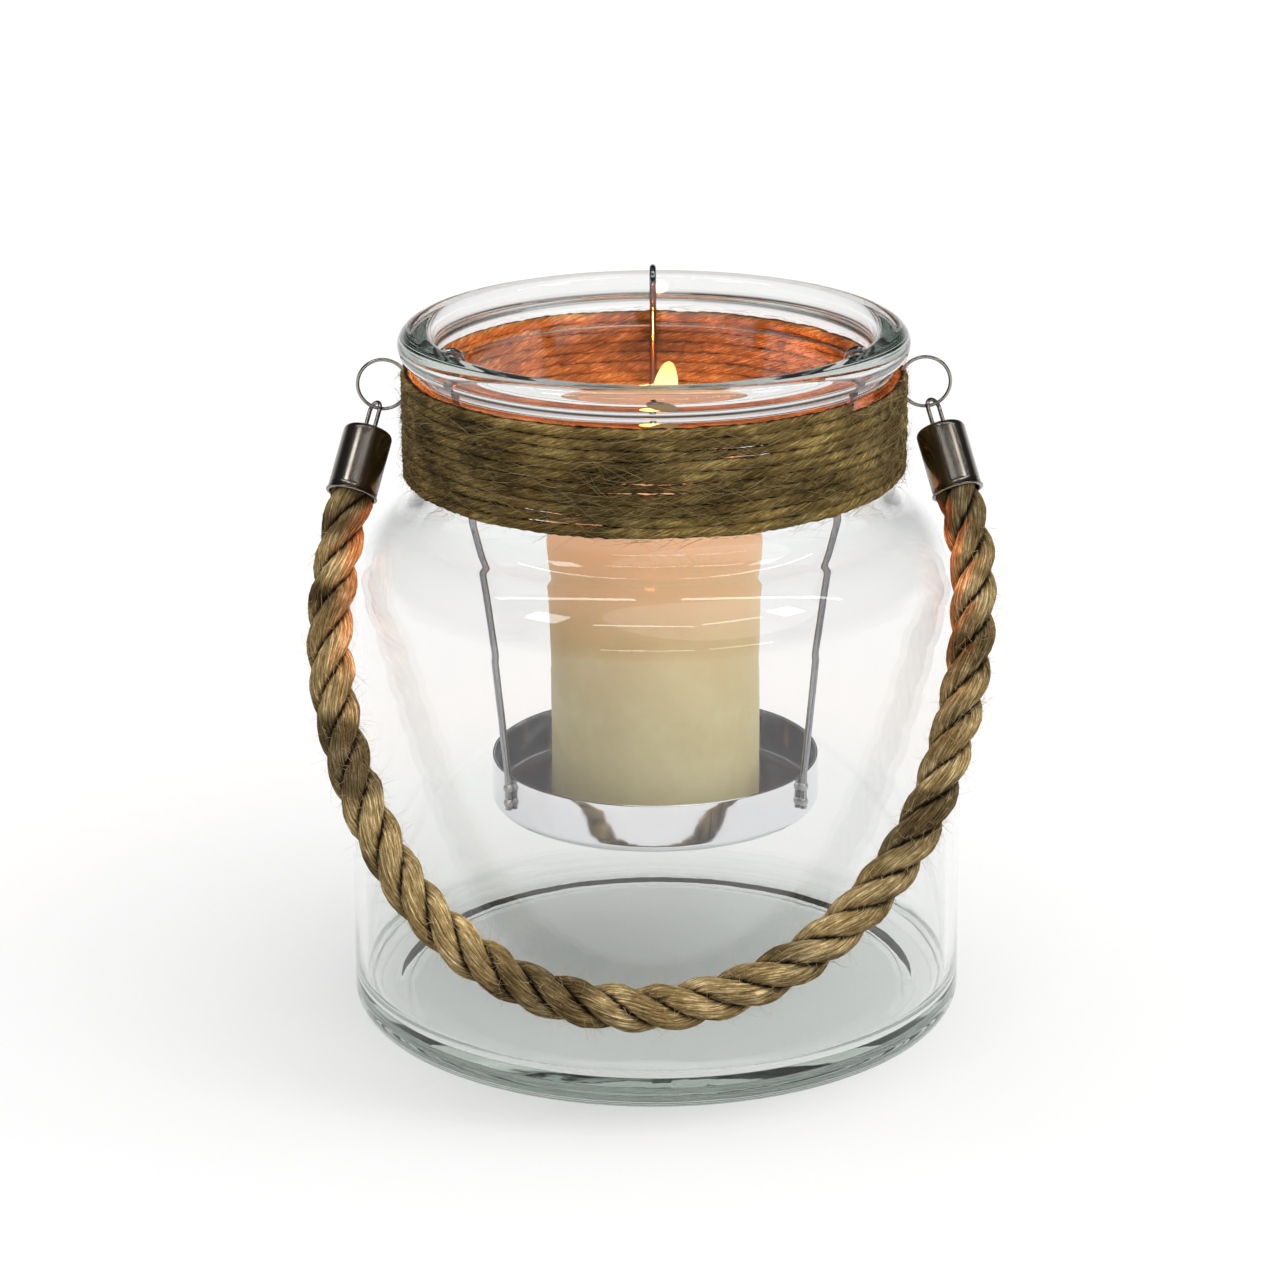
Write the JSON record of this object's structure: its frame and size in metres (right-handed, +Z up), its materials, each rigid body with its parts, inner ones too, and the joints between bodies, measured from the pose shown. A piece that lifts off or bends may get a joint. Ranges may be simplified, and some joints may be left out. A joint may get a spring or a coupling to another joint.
{
  "type": "mason jar lantern",
  "caption": "Wide-mouthed glass jar lantern with a twine-bound neck, a rope handle on wire rings, and a lift-out tray that hangs from the lip and holds a pillar candle.",
  "frame": {"origin": "centre of the jar's base, on the surface that it stands on", "axes": "+Z up along the jar's axis. The rings are at +X and -X, and the rope handle hangs in front of the jar, at -Y"},
  "size_m": [0.1904, 0.1889, 0.2023],
  "materials": {
    "glass": "clear, faintly green in its thick base",
    "hoop_steel": "plain drawn wire",
    "jute_twine": "fuzzy olive-brown natural jute twine",
    "ring_steel": "nickel-plated steel wire",
    "jute_rope": "golden-brown natural jute, three strands laid to the right",
    "cap_nickel": "warm satin nickel plate",
    "eye_steel": "nickel-plated steel wire",
    "adhesive": "hardened amber glue",
    "tray_chrome": "polished chrome plate",
    "hanger_chrome": "polished chrome plate",
    "weld_steel": "plated tack weld",
    "wax": "smooth cream wax",
    "wick_cotton": "braided cotton, charred at its tip"
  },
  "bodies": {
    "jar": {"jar": "glass", "neck_wire": "hoop_steel", "neck_twine": "jute_twine", "ring_left": "ring_steel", "ring_right": "ring_steel"},
    "handle": {"rope": "jute_rope", "end_cap_left": "cap_nickel", "end_cap_right": "cap_nickel", "eye_left": "eye_steel", "eye_right": "eye_steel", "adhesive_left": "adhesive", "adhesive_right": "adhesive"},
    "insert": {"tray": "tray_chrome", "hanger_wire_back": "hanger_chrome", "hanger_wire_left": "hanger_chrome", "hanger_wire_right": "hanger_chrome", "tack_welds": "weld_steel"},
    "candle": {"candle": "wax", "wick": "wick_cotton"}
  },
  "joints": [
    {"name": "handle_swing", "type": "hinge", "parent": "jar", "child": "handle", "pos_m": [0, 0, 0.177], "axis": [-1, 0, 0], "range_deg": [0, 90]},
    {"name": "insert_lift", "type": "slide", "parent": "jar", "child": "insert", "axis": [0, 0, 1], "range_m": [0, 0.16]},
    {"name": "candle_lift", "type": "slide", "parent": "insert", "child": "candle", "axis": [0, 0, 1], "range_m": [0, 0.15]}
  ]
}
